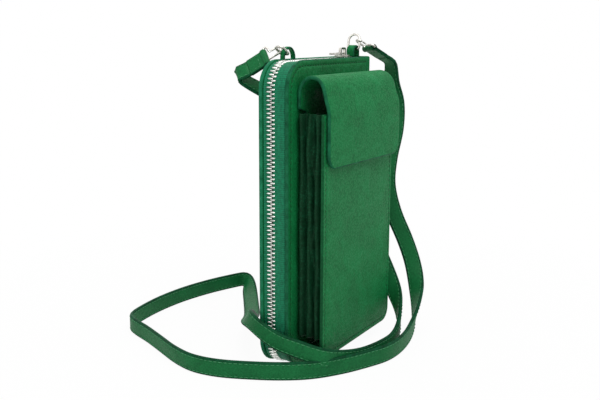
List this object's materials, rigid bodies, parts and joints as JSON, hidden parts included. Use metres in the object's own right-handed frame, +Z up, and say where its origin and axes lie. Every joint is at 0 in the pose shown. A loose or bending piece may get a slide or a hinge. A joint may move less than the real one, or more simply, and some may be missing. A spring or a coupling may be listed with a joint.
{
  "type": "phone wallet",
  "caption": "Zip-around leather phone wallet with a bellows phone pocket under an arched flap, and a long flat strap hooked to rings at its top",
  "frame": {"origin": "The middle of the back cover's foot edge, on the surface that the wallet stands on", "axes": "+X from the zip side to the spine, +Y from the phone pocket to the back cover, +Z up"},
  "size_m": [0.1735, 0.1954, 0.2107],
  "materials": {
    "green_leather": "smooth green leather with painted edges",
    "strap_leather": "smooth darker green leather strap",
    "inner_leather": "soft green lining leather",
    "gusset_leather": "thin folded green leather",
    "lining_cloth": "plain woven lining",
    "zip_tape": "woven green zip tape",
    "nickel_plate": "polished nickel plate"
  },
  "bodies": {
    "back": {"back_cover": "green_leather", "back_lining": "lining_cloth", "card_panel_1": "inner_leather", "card_panel_2": "inner_leather", "card_panel_3": "inner_leather", "spine_back": "green_leather", "zip_tape_back": "zip_tape", "zip_chain_back": "nickel_plate", "zip_tail_chain": "nickel_plate", "zip_tail_tape": "zip_tape", "zip_stop": "nickel_plate", "tab_left": "green_leather", "tab_right": "green_leather", "hook_left": "nickel_plate", "hook_right": "nickel_plate", "strap": "strap_leather", "strap_end_left": "strap_leather", "strap_end_right": "strap_leather"},
    "front": {"front_cover": "green_leather", "front_lining": "lining_cloth", "coin_panel": "inner_leather", "spine_front": "green_leather", "zip_tape_front": "zip_tape", "zip_chain_front": "nickel_plate", "pocket_front": "green_leather", "pocket_base": "green_leather", "gusset_left": "gusset_leather", "gusset_right": "gusset_leather", "snap_plate": "nickel_plate", "flap_back": "green_leather"},
    "flap": {"flap_front": "green_leather", "snap_disc": "nickel_plate"},
    "slider": {"zip_slider_top": "nickel_plate", "zip_slider_foot": "nickel_plate"},
    "pull": {"zip_pull": "nickel_plate"},
    "left_ring": {"ring_left": "nickel_plate"},
    "right_ring": {"ring_right": "nickel_plate"},
    "left_gate": {"gate_left": "nickel_plate"},
    "right_gate": {"gate_right": "nickel_plate"}
  },
  "joints": [
    {"name": "cover_hinge", "type": "hinge", "parent": "back", "child": "front", "pos_m": [0.056, -0.007, 0], "axis": [0, 0, 1], "range_deg": [0, 100], "deforming": ["strap", "strap_end_right"]},
    {"name": "flap_hinge", "type": "hinge", "parent": "front", "child": "flap", "pos_m": [0, -0.0311, 0.1865], "axis": [-1, 0, 0], "range_deg": [0, 120]},
    {"name": "zip_slide", "type": "slide", "parent": "back", "child": "slider", "axis": [-1, 0, 0], "range_m": [0, 0.06]},
    {"name": "pull_hinge", "type": "hinge", "parent": "slider", "child": "pull", "pos_m": [0.03575, -0.007, 0.1971], "axis": [0, 1, 0], "range_deg": [0, 110]},
    {"name": "left_ring_hinge", "type": "hinge", "parent": "back", "child": "left_ring", "pos_m": [-0.02777, -0.0004, 0.19796], "axis": [0, 1, 0], "range_deg": [-5, 5]},
    {"name": "right_ring_hinge", "type": "hinge", "parent": "back", "child": "right_ring", "pos_m": [0.05077, -0.0085, 0.19999], "axis": [0, 1, 0], "range_deg": [-5, 5]},
    {"name": "left_gate_hinge", "type": "hinge", "parent": "back", "child": "left_gate", "pos_m": [-0.03161, 0.00761, 0.19978], "axis": [0.861, -0.0348, -0.5074], "range_deg": [0, 16], "stiffness_Nm_per_rad": 0.002},
    {"name": "right_gate_hinge", "type": "hinge", "parent": "back", "child": "right_gate", "pos_m": [0.05405, -0.01705, 0.20317], "axis": [-0.4759, 0.1341, -0.8692], "range_deg": [0, 16], "stiffness_Nm_per_rad": 0.002}
  ]
}
